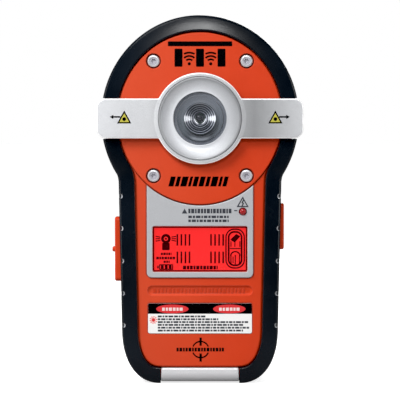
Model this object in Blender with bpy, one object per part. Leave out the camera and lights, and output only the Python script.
"""Hand-held stud finder with self-levelling side lasers, as an assembly.

Frame: +X to the right seen from the front, +Z up, the front faces -Y.
The wall the tool slides on is the plane y = 0 and the origin lies on that
plane, on the axis of the round marker lens. Lengths are millimetres;
d is the distance from the wall, so y = -d.
"""
import math

import bmesh
import bpy
from mathutils import Vector

MM = 0.001

# ---- case outline, seen from the front --------------------------------------
HEAD_HALF_W, HEAD_HALF_H = 47.6, 49.6
HEAD_END_Z = -26.6                   # where the head's ellipse stops
GRIP_START_Z = -31.2                 # where the straight grip side starts
SIDE_TOP = (39.2, -28.0)             # (x, z) of the grip side just under the head
SIDE_LOW = (37.65, -100.5)           # (x, z) where the bottom corner starts
SIDE_SLOPE = (SIDE_TOP[0] - SIDE_LOW[0]) / (SIDE_TOP[1] - SIDE_LOW[1])
CORNER_CENTRE = (19.0, SIDE_LOW[1])
CORNER_EXPONENT = 2.25               # superellipse exponent of the bottom corner
BOTTOM_Z = -127.6
HEAD_UPPER_STEPS, HEAD_LOWER_STEPS = 9, 4
NECK_STEPS, CORNER_STEPS = 3, 6

# ---- thicknesses and depths -------------------------------------------------
RIM = 8.4                            # width of the rubber rim seen from the front
SKIN = 2.2                           # rubber thickness on the sides
GAP = 0.3                            # between neighbouring pieces
WALL = 2.0
CASE_INSET = SKIN + GAP              # outside of both shells
D_BACK = 0.9                         # outside of the rear shell
D_INSIDE = D_BACK + WALL             # inside of the rear shell
D_FLOOR = D_INSIDE + GAP             # back of the parts on the shell floor
D_SPLIT = 19.7                       # rim of the rear shell
D_FACE = 36.0                        # front of the grip
D_RIM = 37.5                         # front of the rubber
D_HEAD = 34.7                        # seat of the head cover
D_COVER = 36.8
D_DISH = 37.15                       # back of the crossbar and the dish
D_CROSSBAR = 40.6

# ---- head -------------------------------------------------------------------
COVER_HALF_W, COVER_HALF_H = 38.85, 40.9
BAR_HALF_W, BAR_HALF_H, BAR_CORNER_R = 49.4, 9.55, 4.5
HUB_R, DISH_R, LENS_R = 21.9, 19.8, 12.5
SCREW_HEAD_R = 3.0
HEAD_SCREWS = [(x, z) for z in (27.5, -27.5) for x in (22.3, -22.3)]
CASE_SCREWS = ((31.0, 22.0), (-31.0, 22.0), (27.0, -112.0), (-27.0, -112.0))

# ---- grip -------------------------------------------------------------------
WINDOW_HALF_W, WINDOW_TOP, WINDOW_LOW = 22.9, -51.7, -73.8
BEZEL_HALF_W, BEZEL_LOW = 25.6, -76.5
LABEL_HALF_W, LABEL_TOP, LABEL_LOW = 25.0, -88.9, -103.4
GROOVE_HALF_W, GROOVE_TOP, GROOVE_LOW = 25.3, -80.4, -85.1
LAMP = (20.6, -44.7)
SLIDER_Z = (-78.7, -47.5)
SLIDER_TRAVEL = 4.0
SLIDER_SLOT_Z = (SLIDER_Z[0], SLIDER_Z[1] + SLIDER_TRAVEL)
BUTTON_Z = (-63.3, -40.9)
CONTROL_D = (22.0, 29.6)
CONTROL_MID_D = sum(CONTROL_D) / 2
BUTTON_MID_Z = sum(BUTTON_Z) / 2
SLIDER_MID_Z = sum(SLIDER_Z) / 2
NOTCH_Z = (-37.3, -52.8, -68.5, -84.1, -99.5)

# ---- battery bay, pendulum and lock -----------------------------------------
DOOR_HALF_W, DOOR_TOP = 16.7, -59.0
DOOR_GAP = 0.35
HINGE = (3.3, -116.0)                # (d, z) of the door's hinge
CELL_R, CELL_X, CELL_D = 7.1, 7.7, 10.7
SPRING_R = (4.4, 2.6)                # wide end, cell end
LASER_D = 13.0
FRAME_BACK, FRAME_FRONT = 6.9, 8.7   # d range shared by frame and lever
DRUM_IN_R, DRUM_R = 27.0, 30.0
LEVER_PIVOT = (-23.7, -22.4)
LEVER_ARM = 9.0                      # lever pivot to slider pin
LEVER_PIN = (LEVER_PIVOT[0] - LEVER_ARM, LEVER_PIVOT[1] - SLIDER_TRAVEL / 2)
SHOE_R = DRUM_R + 0.35               # curved end of the lever, clear of the drum
SHOE_ANGLE = math.radians(-115)

CENTRE = (0, 0)
SIDES = ((-1, "left"), (1, "right"))

# ---- materials --------------------------------------------------------------
ORANGE = dict(rgb=(0.68, 0.065, 0.02), rough=0.38)
BLACK = dict(rgb=(0.012, 0.014, 0.018), rough=0.6)
SILVER = dict(rgb=(0.62, 0.64, 0.66), metallic=0.9, rough=0.3)
STEEL = dict(rgb=(0.55, 0.55, 0.56), metallic=1.0, rough=0.25)
BRASS = dict(rgb=(0.65, 0.45, 0.16), metallic=1.0, rough=0.3)
COPPER = dict(rgb=(0.72, 0.33, 0.18), metallic=1.0, rough=0.3)
BOARD = dict(rgb=(0.02, 0.16, 0.06), rough=0.5)
SMOKE = dict(rgb=(0.2, 0.2, 0.21), rough=0.05, alpha=0.35)
CLEAR = dict(rgb=(0.8, 0.82, 0.85), rough=0.05, alpha=0.35)
MIRROR = dict(rgb=(0.75, 0.76, 0.78), metallic=1.0, rough=0.12)
SPOT_RED = dict(rgb=(0.75, 0.12, 0.08), rough=0.1)
BEZEL_GREY = dict(rgb=(0.5, 0.52, 0.54), metallic=0.6, rough=0.4)
WINDOW_RED = dict(rgb=(0.5, 0.03, 0.03), rough=0.05, alpha=0.35)
DISPLAY_RED = dict(rgb=(0.85, 0.06, 0.05), rough=0.15, emission=1.0)
BACKLIGHT = dict(rgb=(0.9, 0.85, 0.8), rough=0.4)
LAMP_RED = dict(rgb=(0.85, 0.02, 0.02), rough=0.1, emission=0.6)
PAPER = dict(rgb=(0.85, 0.85, 0.83), rough=0.5)
FRAME_GREY = dict(rgb=(0.4, 0.41, 0.43), metallic=0.9, rough=0.4)
BRACKET_GREY = dict(rgb=(0.35, 0.36, 0.38), metallic=0.9, rough=0.4)
CELL_BLACK = dict(rgb=(0.06, 0.07, 0.09), metallic=0.5, rough=0.3)


def material(name, rgb, metallic=0.0, rough=0.5, alpha=1.0, emission=0.0):
    made = bpy.data.materials.new(name)
    made.use_nodes = True
    inputs = made.node_tree.nodes["Principled BSDF"].inputs
    inputs["Base Color"].default_value = (*rgb, 1.0)
    inputs["Metallic"].default_value = metallic
    inputs["Roughness"].default_value = rough
    inputs["Alpha"].default_value = alpha
    if emission:
        inputs["Emission Color"].default_value = (*rgb, 1.0)
        inputs["Emission Strength"].default_value = emission
    return made


# ---- objects and Booleans ---------------------------------------------------
def point(x, d, z):
    return Vector((x * MM, -d * MM, z * MM))


def finish(name, bm, look=None, origin=(0.0, 0.0, 0.0), smooth=35.0):
    """Turn a closed bmesh into a named object with its own material."""
    bmesh.ops.remove_doubles(bm, verts=bm.verts, dist=1e-7)
    bmesh.ops.recalc_face_normals(bm, faces=bm.faces)
    location = point(*origin)
    for vert in bm.verts:
        vert.co -= location
    mesh = bpy.data.meshes.new(name)
    bm.to_mesh(mesh)
    bm.free()
    for face in mesh.polygons:
        face.use_smooth = True
    mesh.set_sharp_from_angle(angle=math.radians(smooth))
    ob = bpy.data.objects.new(name, mesh)
    bpy.context.scene.collection.objects.link(ob)
    ob.location = location
    if look:
        mesh.materials.append(material(name + "_mat", **look))
    return ob


def boolean(ob, bm, operation):
    """Apply one exact Boolean and drop the tool object."""
    tool = finish(ob.name + "_tool", bm)
    modifier = ob.modifiers.new("b", "BOOLEAN")
    modifier.operation = operation
    modifier.solver = "EXACT"
    modifier.object = tool
    graph = bpy.context.evaluated_depsgraph_get()
    mesh = bpy.data.meshes.new_from_object(ob.evaluated_get(graph), depsgraph=graph)
    ob.modifiers.clear()
    ob.data = mesh
    bpy.data.objects.remove(tool, do_unlink=True)
    # weld the slivers the Boolean leaves
    clean = bmesh.new()
    clean.from_mesh(mesh)
    bmesh.ops.remove_doubles(clean, verts=clean.verts, dist=2e-6)
    bmesh.ops.dissolve_degenerate(clean, edges=clean.edges, dist=1e-6)
    clean.to_mesh(mesh)
    clean.free()
    mesh.set_sharp_from_angle(angle=math.radians(35))
    return ob


def cut(ob, bm):
    return boolean(ob, bm, "DIFFERENCE")


def add(ob, bm):
    return boolean(ob, bm, "UNION")


# ---- outlines: clockwise lists of points ------------------------------------
def offset(pts, inset):
    """Move every point of a clockwise closed outline inwards."""
    if not inset:
        return list(pts)
    moved = []
    for i, (x, z) in enumerate(pts):
        last_x, last_z = pts[i - 1]
        next_x, next_z = pts[(i + 1) % len(pts)]
        in_x, in_z = x - last_x, z - last_z
        out_x, out_z = next_x - x, next_z - z
        in_len, out_len = math.hypot(in_x, in_z), math.hypot(out_x, out_z)
        # inward of a clockwise outline is to the right of travel
        nx, nz = in_z / in_len + out_z / out_len, -in_x / in_len - out_x / out_len
        length = math.hypot(nx, nz)
        nx, nz = nx / length, nz / length
        mitre = nx * in_z / in_len - nz * in_x / in_len
        moved.append((x + nx * inset / mitre, z + nz * inset / mitre))
    return moved


def ellipse(half_w, half_h, n):
    return [(half_w * math.cos(-2 * math.pi * i / n),
             half_h * math.sin(-2 * math.pi * i / n)) for i in range(n)]


def rrect(x0, z0, x1, z1, r, n=3):
    """Rounded rectangle with n steps per corner, from the top right one."""
    pts = []
    for cx, cz, start in ((x1 - r, z1 - r, 90), (x1 - r, z0 + r, 0),
                          (x0 + r, z0 + r, -90), (x0 + r, z1 - r, -180)):
        for i in range(n + 1):
            angle = math.radians(start - 90 * i / n)
            pts.append((cx + r * math.cos(angle), cz + r * math.sin(angle)))
    return pts


def grip_side(z):
    """x of the straight side of the grip."""
    return SIDE_TOP[0] + SIDE_SLOPE * (z - SIDE_TOP[1])


def case_half():
    """Right half of the case outline, from the top centre to the bottom."""
    end = math.asin(HEAD_END_Z / HEAD_HALF_H)
    angles = [math.pi / 2 * (1 - i / HEAD_UPPER_STEPS) for i in range(HEAD_UPPER_STEPS)]
    angles += [end * i / HEAD_LOWER_STEPS for i in range(HEAD_LOWER_STEPS + 1)]
    pts = [(HEAD_HALF_W * math.cos(t), HEAD_HALF_H * math.sin(t)) for t in angles]
    # neck: a quadratic curve whose middle control point is where the head's
    # tangent meets the line of the grip's side
    head = pts[-1]
    grip = (grip_side(GRIP_START_Z), GRIP_START_Z)
    dx, dz = HEAD_HALF_W * math.sin(end), -HEAD_HALF_H * math.cos(end)
    reach = (grip_side(head[1]) - head[0]) / (dx - SIDE_SLOPE * dz)
    meet = (head[0] + reach * dx, head[1] + reach * dz)
    for i in range(1, NECK_STEPS + 1):
        t = i / NECK_STEPS
        pts.append(tuple((1 - t) ** 2 * p + 2 * t * (1 - t) * q + t * t * r
                         for p, q, r in zip(head, meet, grip)))
    width, height = SIDE_LOW[0] - CORNER_CENTRE[0], CORNER_CENTRE[1] - BOTTOM_Z
    for i in range(CORNER_STEPS + 1):
        t = math.pi / 2 * i / CORNER_STEPS
        pts.append((CORNER_CENTRE[0] + width * math.cos(t) ** (2 / CORNER_EXPONENT),
                    CORNER_CENTRE[1] - height * math.sin(t) ** (2 / CORNER_EXPONENT)))
    return pts


HALF = case_half()
CASE = HALF + [(0.0, BOTTOM_Z)] + [(-x, z) for x, z in reversed(HALF[1:])]
INWARD = [(q[0] - p[0], q[1] - p[1]) for p, q in zip(CASE, offset(CASE, 1.0))]


def bezel_outline(grow):
    """Display bezel: rounded below, following the head cover's arc above."""
    half_w, low = BEZEL_HALF_W + grow, BEZEL_LOW - grow
    r = 2.4 + grow
    arc_w, arc_h = COVER_HALF_W + 0.9 - grow, COVER_HALF_H + 0.9 - grow
    steps = 10
    pts = []
    for i in range(steps + 1):
        x = -half_w + 2 * half_w * i / steps
        pts.append((x, -arc_h * math.sqrt(1 - (x / arc_w) ** 2)))
    for cx, start in ((half_w - r, 0), (-half_w + r, -90)):
        for i in range(4):
            t = math.radians(start - 30 * i)
            pts.append((cx + r * math.cos(t), low + r + r * math.sin(t)))
    return pts


def crossbar_outline(hub_steps=18, corner_steps=4):
    """Bar with rounded ends and a round hub, as one clockwise outline."""
    meet = math.asin(BAR_HALF_H / HUB_R)
    arc = [math.pi - meet - (math.pi - 2 * meet) * i / hub_steps for i in range(hub_steps + 1)]
    hub = [(HUB_R * math.cos(t), HUB_R * math.sin(t)) for t in arc]
    ends = rrect(-BAR_HALF_W, -BAR_HALF_H, BAR_HALF_W, BAR_HALF_H, BAR_CORNER_R, corner_steps)
    half = 2 * (corner_steps + 1)
    return hub + ends[:half] + [(x, -z) for x, z in reversed(hub)] + ends[half:]


# ---- solids -----------------------------------------------------------------
def place(axis, u, v, height):
    """Point of a cross-section (u, v) at a height along axis X, Y (d) or Z."""
    if axis == "Y":
        return point(u, height, v)
    if axis == "X":
        return point(height, u, v)
    return point(u, v, height)


def loft(outline, rings, axis="Y", bm=None):
    """Join insets of one outline; rings = (inset, height)."""
    bm = bm or bmesh.new()
    loops = [[bm.verts.new(place(axis, u, v, height)) for u, v in offset(outline, inset)]
             for inset, height in rings]
    bm.faces.new(loops[0])
    bm.faces.new(list(reversed(loops[-1])))
    n = len(outline)
    for a, b in zip(loops, loops[1:]):
        for i in range(n):
            bm.faces.new((a[i], b[i], b[(i + 1) % n], a[(i + 1) % n]))
    return bm


def lathe(profile, segs, centre=CENTRE, axis="Y", ring=False, bm=None):
    """Turn (radius, height) points; a radius of 0 makes a pole."""
    bm = bm or bmesh.new()
    loops = []
    for r, height in profile:
        loop = []
        for i in range(1 if r == 0 else segs):
            t = 2 * math.pi * i / segs
            u, v = centre[0] + r * math.cos(t), centre[1] + r * math.sin(t)
            loop.append(bm.verts.new(place(axis, u, v, height)))
        loops.append(loop)
    pairs = list(zip(loops, loops[1:]))
    if ring:
        pairs.append((loops[-1], loops[0]))
    for a, b in pairs:
        for i in range(segs):
            j = (i + 1) % segs
            if len(a) == 1:
                bm.faces.new((a[0], b[j], b[i]))
            elif len(b) == 1:
                bm.faces.new((a[i], a[j], b[0]))
            else:
                bm.faces.new((a[i], a[j], b[j], b[i]))
    return bm


def rod(r, start, end, segs, centre=CENTRE, axis="Y", chamfer=0.0, bm=None):
    if chamfer:
        side = [(r - chamfer, start), (r, start + chamfer), (r, end - chamfer), (r - chamfer, end)]
    else:
        side = [(r, start), (r, end)]
    return lathe([(0, start)] + side + [(0, end)], segs, centre, axis, bm=bm)


def rods(r, start, end, segs, centres, bm=None):
    """Equal rods along d at several (x, z) places."""
    bm = bm or bmesh.new()
    for centre in centres:
        rod(r, start, end, segs, centre, bm=bm)
    return bm


def tube(r_in, r_out, start, end, segs):
    return lathe([(r_in, start), (r_out, start), (r_out, end), (r_in, end)], segs, ring=True)


def block(x0, x1, d0, d1, z0, z1, bm=None):
    bm = bm or bmesh.new()
    v = [bm.verts.new(point(x, d, z)) for x in (x0, x1) for d in (d0, d1) for z in (z0, z1)]
    for face in ((0, 1, 3, 2), (4, 6, 7, 5), (0, 4, 5, 1),
                 (2, 3, 7, 6), (0, 2, 6, 4), (1, 5, 7, 3)):
        bm.faces.new([v[i] for i in face])
    return bm


def plate(x0, x1, z0, z1, d0, d1, r=1.0, chamfer=0.0, n=3):
    """Rounded rectangle facing the front, chamfered front and back."""
    return loft(rrect(x0, z0, x1, z1, r, n),
                [(chamfer, d0), (0, d0 + chamfer), (0, d1 - chamfer), (chamfer, d1)])


def on_side(side, near, far):
    """x range between two distances from the centre plane, in rising order."""
    return sorted((side * near, side * far))


def skin(bm, loops):
    """Close a chain of equal loops of vertices into a solid."""
    bm.faces.new(loops[0])
    bm.faces.new(list(reversed(loops[-1])))
    n = len(loops[0])
    for a, b in zip(loops, loops[1:]):
        for i in range(n):
            bm.faces.new((a[i], a[(i + 1) % n], b[(i + 1) % n], b[i]))
    return bm


def sweep(path, profile):
    """Carry a closed (inset, d) profile along a run of outline points, each
    given with its inward direction."""
    bm = bmesh.new()
    return skin(bm, [[bm.verts.new(point(x + nx * inset, d, z + nz * inset))
                      for inset, d in profile] for (x, z), (nx, nz) in path])


# ---- shells -----------------------------------------------------------------
def front_shell():
    face_inset = RIM + GAP
    shell = finish("front_shell", loft(CASE, [     # (inset, d), outside then inside
        (face_inset + 0.9, D_FACE), (face_inset + 0.25, D_FACE - 0.25),
        (face_inset, D_FACE - 0.9), (face_inset, 33.7), (4.0, 33.7),
        (CASE_INSET, 32.4), (CASE_INSET, D_SPLIT + GAP),
        (CASE_INSET + WALL, D_SPLIT + GAP), (CASE_INSET + WALL, 30.6),
        (6.2, 31.7), (10.9, 31.7), (10.9, 32.8)]), ORANGE)
    add(shell, rods(3.3, 25.5, 33.6, 12, HEAD_SCREWS))
    add(shell, rods(4.0, D_SPLIT + GAP, 32.2, 12, CASE_SCREWS))

    # seats of the head cover, the bezel and the label, and the groove
    cut(shell, loft(ellipse(COVER_HALF_W + 0.4, COVER_HALF_H + 0.4, 48), [(0, D_HEAD), (0, 40.0)]))
    cut(shell, loft(bezel_outline(GAP), [(0, 35.3), (0, 40.0)]))
    seats = loft(rrect(-LABEL_HALF_W - GAP, LABEL_LOW - GAP, LABEL_HALF_W + GAP,
                       LABEL_TOP + GAP, 1.2), [(0, 35.5), (0, 40.0)])
    groove_r = (GROOVE_TOP - GROOVE_LOW) / 2 - 0.01
    loft(rrect(-GROOVE_HALF_W, GROOVE_LOW, GROOVE_HALF_W, GROOVE_TOP, groove_r, 5),
         [(0.5, 35.2), (0, 35.7), (0, 40.0)], bm=seats)
    cut(shell, seats)

    # openings for the display, lamps, screws and side controls
    holes = loft(rrect(-WINDOW_HALF_W + 0.2, WINDOW_LOW + 0.2, WINDOW_HALF_W - 0.2,
                       WINDOW_TOP - 0.2, 0.8, 2), [(0, 25.0), (0, 38.0)])
    rod(1.9, 25.0, 38.0, 14, LAMP, bm=holes)
    rod(11.8, 25.0, 38.0, 24, bm=holes)
    rods(1.55, 20.0, 38.0, 10, HEAD_SCREWS, holes)
    rods(1.55, 15.0, 27.0, 10, CASE_SCREWS, holes)
    play = 0.4
    for side, (low, top) in ((1, BUTTON_Z), (-1, SLIDER_SLOT_Z)):
        block(*on_side(side, 30.0, 45.0), CONTROL_D[0] - play, CONTROL_D[1] + play,
              low - play, top + play, holes)
    cut(shell, holes)


def rear_shell():
    shell = finish("rear_shell", loft(CASE, [      # (inset, d), outside then inside
        (5.6, D_BACK), (4.0, 1.4), (2.9, 2.4), (CASE_INSET, 3.6), (CASE_INSET, D_SPLIT),
        (CASE_INSET + WALL, D_SPLIT), (CASE_INSET + WALL, 4.4), (6.2, D_INSIDE)]), ORANGE)
    door_x = DOOR_HALF_W + DOOR_GAP
    cut(shell, plate(-door_x, door_x, -118.8, DOOR_TOP + DOOR_GAP, -5.0, 6.0, 0.8))

    # screw posts, pivot bosses, bay side walls and hinge blocks
    sunk = D_INSIDE - 0.7
    bosses = rods(4.2, sunk, D_SPLIT, 12, CASE_SCREWS)
    rod(4.0, sunk, 6.2, 16, bm=bosses)
    rod(1.0, sunk, 9.4, 12, LEVER_PIVOT, bm=bosses)
    for side, _ in SIDES:
        block(*on_side(side, 17.35, 18.75), D_INSIDE - 0.6, 12.0, -111.0, -58.3, bosses)
        block(*on_side(side, door_x, 20.8), sunk, 6.6, -119.6, -112.4, bosses)
    add(shell, bosses)
    add(shell, block(-18.0, 18.0, D_INSIDE - 0.8, 16.0, -58.35, -57.0))

    # screw holes, axle hole, hinge hole and side openings for the lasers
    holes = bmesh.new()
    for centre in CASE_SCREWS:
        lathe([(0, -3), (3.1, -3), (3.1, 2.9), (1.6, 2.9), (1.6, 25), (0, 25)],
              12, centre, bm=holes)
    rod(1.8, 4.0, 12.0, 16, bm=holes)
    rod(1.35, -18.4, 18.4, 14, HINGE, "X", bm=holes)
    for side, _ in SIDES:
        block(*on_side(side, 40.0, 50.0), 8.6, 16.4, -5.5, 5.5, holes)
    cut(shell, holes)

    # round hole in the back with a narrow slot running up from it
    cut(shell, rod(4.0, -2.0, 6.0, 18, (0, 28.0)))
    cut(shell, plate(-1.9, 1.9, 27.0, 35.2, -2.0, 6.0, 1.8))


# ---- head -------------------------------------------------------------------
def head_cover():
    cover = finish("head_cover", loft(ellipse(COVER_HALF_W, COVER_HALF_H, 48), [
        (0, D_HEAD + GAP), (0, D_COVER - 0.6), (0.2, D_COVER - 0.15), (0.7, D_COVER)]), ORANGE)
    holes = rod(12.2, 30.0, 40.0, 24)
    cut(cover, rods(SCREW_HEAD_R + 0.4, 30.0, 40.0, 14, HEAD_SCREWS, holes))


def head_screws():
    # numbered from left to right, top row first
    for number, centre in zip((2, 1, 4, 3), HEAD_SCREWS):
        finish(f"head_screw_{number}", lathe([
            (0, 27.0), (1.25, 27.0), (1.25, D_HEAD + GAP), (SCREW_HEAD_R, D_HEAD + GAP),
            (SCREW_HEAD_R, 36.2), (2.6, 36.65), (1.4, 36.75), (1.2, 35.9), (0, 35.9)],
            14, centre), STEEL)


def crossbar():
    bar = finish("crossbar", loft(crossbar_outline(), [
        (0, D_DISH), (0, D_CROSSBAR - 0.8), (0.25, D_CROSSBAR - 0.2), (0.8, D_CROSSBAR)]), SILVER)

    # the two legs start inside the bar, a hair narrower than it
    inner_x = 45.8
    half_w, half_h = BAR_HALF_W - 0.06, BAR_HALF_H - 0.06
    inner_z = half_h - BAR_CORNER_R + math.sqrt(
        BAR_CORNER_R ** 2 - (inner_x - half_w + BAR_CORNER_R) ** 2)
    legs = bmesh.new()
    for side, _ in SIDES:
        tip = [(x, z) for x, z in rrect(-half_w, -half_h, half_w, half_h, BAR_CORNER_R, 5)
               if x * side > inner_x + 0.1]
        inner = [(inner_x * side, -inner_z * side), (inner_x * side, inner_z * side)]
        loft(tip + inner, [(0.5, 5.0), (0, 5.5), (0, 38.4)], bm=legs)
    add(bar, legs)

    # dish hole in the hub and a laser opening through each leg
    holes = rod(DISH_R + GAP, 30.0, 50.0, 36)
    for side, _ in SIDES:
        loft(rrect(8.5, -5.5, 16.5, 5.5, 1.2), [(0, x) for x in on_side(side, 43.0, 55.0)],
             "X", holes)
    cut(bar, holes)


def laser_windows():
    for side, label in SIDES:
        x0, x1 = on_side(side, 46.2, 48.9)
        finish(f"laser_window_{label}", loft(
            rrect(8.8, -5.2, 16.2, 5.2, 1.0),
            [(0.3, x0), (0, x0 + 0.3), (0, x1 - 0.3), (0.3, x1)], "X"), CLEAR)


def dish_bezel():
    finish("dish_bezel", lathe([
        (DISH_R, D_DISH), (DISH_R, 40.3), (19.5, 40.6), (19.0, 40.5), (18.1, 39.6), (16.9, 38.9),
        (15.2, 38.4), (13.4, 38.1), (LENS_R + GAP, 38.2), (LENS_R + GAP, D_DISH)],
        32, ring=True), SILVER)


def centre_lens():
    finish("centre_lens", lathe([
        (0, 42.3), (4.5, 41.95), (8.2, 41.0), (10.9, 39.8), (12.2, 38.7), (LENS_R, 37.9),
        (LENS_R, 37.2), (11.5, 37.2), (11.3, 37.9), (10.2, 39.1), (7.8, 40.1), (4.2, 41.0),
        (0, 41.3)], 24), SMOKE)


def centre_reflector():
    finish("centre_reflector", lathe([
        (2.4, 35.3), (2.4, 36.6), (3.6, 37.6), (3.8, 37.1), (5.0, 38.1), (5.2, 37.6),
        (6.6, 38.7), (7.3, 38.6), (7.6, 37.3), (10.9, 37.3), (10.9, 36.2), (9.0, 35.3)],
        24, ring=True), MIRROR)


def spot_lamp():
    finish("spot_lamp", lathe([
        (0, 31.6), (2.1, 31.6), (2.1, 36.2), (1.6, 37.2), (0.9, 37.7), (0, 37.9)], 12), SPOT_RED)
    finish("lamp_board", tube(0.7, 10.5, 29.8, 31.3, 18), BOARD)


# ---- rubber and end cap -----------------------------------------------------
# (inset, d) around the section
RUBBER = [
    (0, 4.8), (0, 33.4), (0.35, 34.9), (1.3, 36.1), (3.0, 36.9), (5.4, 37.4),
    (RIM - 0.6, D_RIM), (RIM, D_RIM - 0.6), (RIM, 34.0), (SKIN, 34.0), (SKIN, 3.3),
    (1.2, 3.3), (0.35, 3.9)]
CAP = [
    (1.0, 5.0), (1.0, 34.8), (1.4, 36.2), (2.6, 37.0), (7.0, 37.0), (7.6, 36.5),
    (7.6, 34.0), (SKIN, 34.0), (SKIN, 4.6), (1.4, 4.6)]


def bumper(name, ids):
    """Rubber along some case points, parted at the crossbar; an end by the
    cap is square."""
    path = [(CASE[i], (0.0, 1.0) if abs(CASE[i][1] - BOTTOM_Z) < 1e-6 else INWARD[i])
            for i in ids]
    return cut(finish(name, sweep(path, RUBBER), BLACK),
               block(-60, 60, 0.0, 60.0, -BAR_HALF_H - GAP, BAR_HALF_H + GAP))


def notches(side):
    """Grip notches, behind and in front of the controls."""
    bm = bmesh.new()
    for z in NOTCH_Z:
        x = grip_side(z)
        for d0, d1 in ((4.6, 19.0), (32.0, 45.0)):
            block(*on_side(side, x - 1.1, x + 4.0), d0, d1, z - 1.0, z + 1.0, bm)
    return bm


def bumpers():
    widest, count = HEAD_UPPER_STEPS, len(CASE)
    bumper("bumper_top", [i % count for i in range(count - widest, count + widest + 1)])
    right = range(widest, len(HALF))
    left = [count - i for i in right]
    play = 0.5
    for name, ids, side, (low, top) in (("bumper_right", right, 1, BUTTON_Z),
                                        ("bumper_left", left, -1, SLIDER_SLOT_Z)):
        rubber = bumper(name, ids)
        slot = rrect(CONTROL_D[0] - play, low - play, CONTROL_D[1] + play, top + play, 2.0)
        cut(rubber, loft(slot, [(0, x) for x in on_side(side, 34.0, 45.0)], "X"))
        cut(rubber, notches(side))


def end_cap():
    path = [((x, BOTTOM_Z), (0, 1)) for x in (18.7, -18.7)]
    finish("end_cap", sweep(path, CAP), SILVER)


# ---- front fittings ---------------------------------------------------------
def display_bezel():
    bezel = finish("display_bezel", loft(bezel_outline(0.0), [
        (0, 35.6), (0, 36.5), (0.35, 36.8)]), BEZEL_GREY)
    holes = loft(rrect(-WINDOW_HALF_W, WINDOW_LOW, WINDOW_HALF_W, WINDOW_TOP, 1.0),
                 [(0, 30.0), (0, 40.0)])
    cut(bezel, rod(1.9, 30.0, 40.0, 16, LAMP, bm=holes))


def display_layers():
    """Window, glass and backlight, from the front inwards."""
    for name, inset, d0, d1, r, n, look in (
            ("display_window", GAP, 35.6, 36.5, 0.8, 3, WINDOW_RED),
            ("display_glass", 0.5, 32.8, 35.3, 0.6, 2, DISPLAY_RED),
            ("display_backlight", 0.5, 30.2, 32.5, 0.6, 2, BACKLIGHT)):
        half_w = WINDOW_HALF_W - inset
        finish(name, plate(-half_w, half_w, WINDOW_LOW + inset, WINDOW_TOP - inset,
                           d0, d1, r, 0.2, n), look)


def live_wire_lamp():
    finish("live_wire_lamp", lathe([
        (0, 33.2), (1.6, 33.2), (1.6, 36.7), (1.2, 37.4), (0.6, 37.8), (0, 37.9)],
        12, LAMP), LAMP_RED)


def data_label():
    finish("data_label", plate(-LABEL_HALF_W, LABEL_HALF_W, LABEL_LOW, LABEL_TOP,
                               35.75, 36.15, 0.9, 0.08), PAPER)


# ---- side controls ----------------------------------------------------------
def scan_button():
    button = finish("scan_button", loft(
        rrect(CONTROL_D[0], BUTTON_Z[0], CONTROL_D[1], BUTTON_Z[1], 1.8),
        [(0, 32.4), (0, 39.7), (0.35, 40.35), (1.1, 40.6)], "X"),
        ORANGE, (36.0, CONTROL_MID_D, BUTTON_MID_Z))
    # inner flange and plunger
    add(button, plate(31.4, 33.0, BUTTON_Z[0] - 1.2, BUTTON_Z[1] + 1.2, 20.6, 30.5, 0.7))
    add(button, rod(1.5, 30.4, 32.0, 12, (CONTROL_MID_D, BUTTON_MID_Z), "X"))


def scan_switch():
    d, z, half = CONTROL_MID_D, BUTTON_MID_Z, 3.0
    switch = finish("scan_switch", loft(
        rrect(d - half, z - half, d + half, z + half, 0.5, 2),
        [(0.3, 24.4), (0, 24.8), (0, 28.0), (0.3, 28.3)], "X"), BLACK)
    add(switch, rod(1.2, 27.6, 28.8, 16, (d, z), "X", 0.2))


def laser_switch_slider():
    slider = finish("laser_switch_slider", loft(
        rrect(CONTROL_D[0], SLIDER_Z[0], CONTROL_D[1], SLIDER_Z[1], 1.8),
        [(1.1, -41.2), (0.35, -40.9), (0, -40.2), (0, -32.4)], "X"),
        ORANGE, (-36.0, CONTROL_MID_D, SLIDER_MID_Z))
    # thumb ridge, inner flange, arm up to the lever and its pin
    add(slider, loft(rrect(CONTROL_D[0] + 0.6, -64.4, CONTROL_D[1] - 0.6, -62.0, 0.6, 2),
                     [(0.4, -42.4), (0, -42.0), (0, -40.6)], "X"))
    add(slider, plate(-33.1, -31.4, SLIDER_Z[0] - 1.5, SLIDER_Z[1] + 1.5, 20.8, 30.5, 0.7))
    add(slider, plate(-33.6, -31.8, -49.0, LEVER_PIN[1] + 1.6, 22.4, 26.0, 0.6))
    add(slider, rod(1.2, 6.5, 23.4, 14, LEVER_PIN))


# ---- battery bay ------------------------------------------------------------
def battery_door():
    door = finish("battery_door", loft(
        rrect(-DOOR_HALF_W, HINGE[1], DOOR_HALF_W, DOOR_TOP, 0.8, 2),
        [(0.3, D_BACK), (0, D_BACK + 0.3), (0, D_INSIDE)]), ORANGE, (0.0, *HINGE))
    add(door, rod(HINGE[0] - D_BACK, -DOOR_HALF_W, DOOR_HALF_W, 20, HINGE, "X"))
    add(door, rod(1.0, -18.1, 18.1, 14, HINGE, "X"))
    # five grooves in the back, shorter downwards
    grooves = bmesh.new()
    for i in range(5):
        z = -64.0 - 1.8 * i
        half_w = 7.0 - 0.9 * i
        block(-half_w, half_w, 0.0, D_BACK + 0.5, z - 0.45, z + 0.45, grooves)
    cut(door, grooves)


def cells():
    for name, x, base, up in (("cell_left", -CELL_X, -110.0, 1),
                              ("cell_right", CELL_X, -64.2, -1)):
        profile = [                  # (radius, height above the flat end)
            (0, 0), (5.6, 0), (6.5, 0.35), (CELL_R, 0.9), (CELL_R, 48.6), (6.6, 49.3),
            (2.75, 49.3), (2.6, 50.3), (2.3, 50.5), (0, 50.5)]
        finish(name, lathe([(r, base + up * height) for r, height in profile],
                           18, (x, CELL_D), "Z"), CELL_BLACK)


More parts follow.
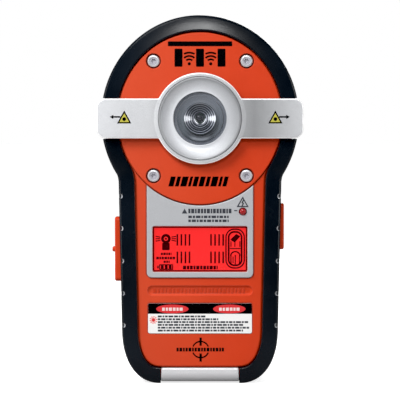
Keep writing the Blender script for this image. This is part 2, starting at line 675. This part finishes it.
def contact_spring(name, x, z0, z1):
    """Tapered coil with flat ends, from its wide end at z0 to z1."""
    wire_r, sides, steps_per_turn, turns = 0.38, 5, 11, 3
    steps = turns * steps_per_turn
    up = Vector((0, 0, 1))
    bm = bmesh.new()
    loops = []
    for i in range(steps + 1):
        t = i / steps
        angle = 2 * math.pi * turns * t
        r = SPRING_R[0] + (SPRING_R[1] - SPRING_R[0]) * t
        z = z0 + (z1 - z0) * min(1.0, max(0.0, (t - 0.12) / 0.76))
        centre = point(x + r * math.cos(angle), CELL_D + r * math.sin(angle), z)
        out = Vector((math.cos(angle), -math.sin(angle), 0))
        loop = []
        for k in range(sides):
            b = 2 * math.pi * k / sides
            loop.append(bm.verts.new(
                centre + (out * math.cos(b) + up * math.sin(b)) * wire_r * MM))
        loops.append(loop)
    finish(name, skin(bm, loops), STEEL, smooth=60)


def contacts():
    contact_spring("contact_spring_1", -CELL_X, -114.55, -110.75)
    contact_spring("contact_spring_2", CELL_X, -59.95, -63.75)
    for name, low, d0 in (("contact_plate_top", -59.2, 5.5), ("contact_plate_low", -115.8, 6.6)):
        finish(name, plate(-14.6, 14.6, low, low + 0.5, d0, 15.5, 0.2, n=1), STEEL)


# ---- electronics ------------------------------------------------------------
def main_board():
    finish("main_board", plate(-22.5, 22.5, -112.0, -50.0, 20.8, 22.4, 1.5), BOARD)


def buzzer():
    finish("buzzer", lathe([
        (0, 22.7), (6.2, 22.7), (6.2, 27.2), (5.9, 27.6), (1.2, 27.6), (1.2, 26.6), (0, 26.6)],
        18, (10.0, -92.0)), BLACK)


def sensor_board():
    board = finish("sensor_board", plate(-26.0, 26.0, -16.0, 13.0, D_FLOOR, D_FLOOR + 1.2, 3.0),
                   BOARD)
    cut(board, rod(4.4, 0.0, 10.0, 18))


def electrodes():
    for side, label in SIDES:
        finish(f"electrode_{label}", plate(*on_side(side, 7.0, 24.5), -14.5, 11.5,
                                           4.7, 5.0, 2.0), COPPER)


# ---- pendulum ---------------------------------------------------------------
def drum_sector():
    """Piece of a ring around the pivot, which the lock lever faces."""
    start, end, steps = math.radians(-125), math.radians(-84), 10
    angles = [start + (end - start) * i / steps for i in range(steps + 1)]
    bm = bmesh.new()
    # per layer and angle: an inner and an outer vertex
    back, front = [
        [[bm.verts.new(point(r * math.cos(t), d, r * math.sin(t))) for r in (DRUM_IN_R, DRUM_R)]
         for t in angles] for d in (FRAME_BACK, FRAME_FRONT - 0.05)]
    for i in range(steps):
        (b_in, b_out), (b_in2, b_out2) = back[i:i + 2]
        (f_in, f_out), (f_in2, f_out2) = front[i:i + 2]
        bm.faces.new((b_in, b_in2, b_out2, b_out))
        bm.faces.new((f_in, f_out, f_out2, f_in2))
        bm.faces.new((b_out, b_out2, f_out2, f_out))
        bm.faces.new((b_in, f_in, f_in2, b_in2))
    bm.faces.new((back[0][0], back[0][1], front[0][1], front[0][0]))
    bm.faces.new((back[-1][0], front[-1][0], front[-1][1], back[-1][1]))
    return bm


def pendulum_frame():
    # faces are staggered by hundredths so that no two joined solids share one
    frame = finish("pendulum_frame", rod(6.4, FRAME_BACK, 17.6, 22), FRAME_GREY)
    add(frame, plate(-31.0, 31.0, -3.4, 3.4, FRAME_BACK + 0.05, FRAME_FRONT))
    add(frame, block(-3.5, 3.5, FRAME_BACK + 0.1, FRAME_FRONT + 0.05, -28.4, -2.0))
    add(frame, drum_sector())
    # a flat ear each side, with a fin above and below the laser module
    ears = bmesh.new()
    fins = bmesh.new()
    for side, _ in SIDES:
        block(*on_side(side, 13.9, 18.1), FRAME_BACK + 0.2, FRAME_FRONT - 0.1, -5.45, 5.45, ears)
        for level in (-1, 1):
            block(*on_side(side, 14.0, 18.0), FRAME_BACK + 0.15, 13.0,
                  *sorted((level * 4.35, level * 5.4)), fins)
    add(frame, ears)
    add(frame, fins)
    cut(frame, rod(4.2, 0.0, 30.0, 20))


def pendulum_weight():
    finish("pendulum_weight", plate(-10.0, 10.0, -25.0, -12.0, 9.1, 17.2, 2.0, 0.4), BRASS)


def lasers():
    """Laser modules and their line lenses, turned about the X axis."""
    axis_at = (LASER_D, 0)
    module = [                       # (radius, distance from the centre plane)
        (0, 7.2), (3.6, 7.2), (4.0, 7.6), (4.0, 30.5), (3.7, 31.0), (3.7, 34.0),
        (2.6, 34.0), (2.6, 32.8), (0, 32.8)]
    lens = [(0, 33.2), (2.2, 33.2), (2.2, 35.2), (1.6, 36.0), (0, 36.3)]
    for side, label in SIDES:
        for name, profile, segs, look in (("laser_module", module, 14, BRASS),
                                          ("line_lens", lens, 12, CLEAR)):
            finish(f"{name}_{label}", lathe([(r, side * x) for r, x in profile],
                                            segs, axis_at, "X"), look)


def pivot():
    finish("pivot_axle", lathe([
        (0, 4.6), (1.1, 4.6), (1.4, 5.0), (1.4, 20.9), (2.6, 20.9), (2.6, 21.9),
        (2.2, 22.2), (0, 22.2)], 14), STEEL)
    for number, d in ((1, 7.2), (2, 14.6)):
        finish(f"pivot_bearing_{number}", tube(1.7, 3.9, d, d + 2.4, 16), STEEL)


def pivot_bracket():
    bracket = finish("pivot_bracket", plate(-5.0, 5.0, -5.0, 18.4, 18.7, 20.5, 1.5, 0.3),
                     BRACKET_GREY)
    add(bracket, block(-4.6, 4.6, D_FLOOR, 19.5, 14.0, 18.0))
    cut(bracket, rod(1.7, 10.0, 30.0, 16))


def damping():
    finish("damping_plate", plate(-7.0, 7.0, -36.0, -23.0, 5.4, 6.6), COPPER)
    finish("damping_magnet", plate(-5.5, 5.5, -35.0, -28.0, D_FLOOR, 5.0, 0.8, 0.2), STEEL)


# ---- lock lever -------------------------------------------------------------
def lever_bar(target, u0, u1, v0, v1, d0, d1, bm=None):
    """Box in lever coordinates: u from the pivot to the target, v across."""
    px, pz = LEVER_PIVOT
    angle = math.atan2(target[1] - pz, target[0] - px)
    c, s = math.cos(angle), math.sin(angle)
    corners = [(px + u * c - v * s, pz + u * s + v * c)
               for u, v in ((u0, v0), (u0, v1), (u1, v1), (u1, v0))]
    return loft(corners, [(0, d0), (0, d1)], bm=bm)


def lock_lever():
    """Shoe arm trimmed to the drum radius, and a forked arm to the pin."""
    d0, d1 = FRAME_BACK, FRAME_FRONT
    shoe = (SHOE_R * math.cos(SHOE_ANGLE), SHOE_R * math.sin(SHOE_ANGLE))
    lever = finish("lock_lever", lever_bar(shoe, 0.2, 13.0, -2.6, 1.6, d0, d1), STEEL,
                   (LEVER_PIVOT[0], (d0 + d1) / 2, LEVER_PIVOT[1]))
    cut(lever, rod(SHOE_R, 0.0, 20.0, 96))
    add(lever, rod(2.2, d0 + 0.05, d1 + 0.05, 20, LEVER_PIVOT))
    add(lever, lever_bar(LEVER_PIN, 1.2, 7.0, -2.7, 2.7, d0 + 0.02, d1 - 0.05))
    tines = bmesh.new()
    for v0, v1 in ((1.6, 2.75), (-2.75, -1.6)):
        lever_bar(LEVER_PIN, 6.0, 11.0, v0, v1, d0 + 0.04, d1 - 0.1, tines)
    add(lever, tines)
    cut(lever, rod(1.3, 0.0, 20.0, 16, LEVER_PIVOT))


# ---- back -------------------------------------------------------------------
def glide_pads():
    for number, (x0, x1, z0, z1) in enumerate((
            (-24.0, 24.0, -3.0, 3.0),
            (-29.5, -23.5, -102.0, -68.0),
            (23.5, 29.5, -102.0, -68.0)), 1):
        finish(f"glide_pad_{number}", plate(x0, x1, z0, z1, 0.0, 0.6, 2.9, 0.12), BLACK)


def case_screws():
    for number, centre in enumerate(CASE_SCREWS, 1):
        finish(f"case_screw_{number}", lathe([
            (0, 2.1), (1.2, 2.1), (1.4, 1.4), (2.4, 1.5), (2.8, 1.9), (2.8, 2.6),
            (1.25, 2.6), (1.25, 26.3), (0, 26.3)], 12, centre), STEEL)


for old in list(bpy.data.objects):
    bpy.data.objects.remove(old, do_unlink=True)

for build in (
        front_shell, rear_shell,
        head_cover, head_screws, crossbar, laser_windows,
        dish_bezel, centre_lens, centre_reflector, spot_lamp,
        bumpers, end_cap,
        display_bezel, display_layers, live_wire_lamp, data_label,
        scan_button, scan_switch, laser_switch_slider,
        battery_door, cells, contacts,
        main_board, buzzer, sensor_board, electrodes,
        pendulum_frame, pendulum_weight, lasers, pivot, pivot_bracket, damping, lock_lever,
        glide_pads, case_screws):
    build()
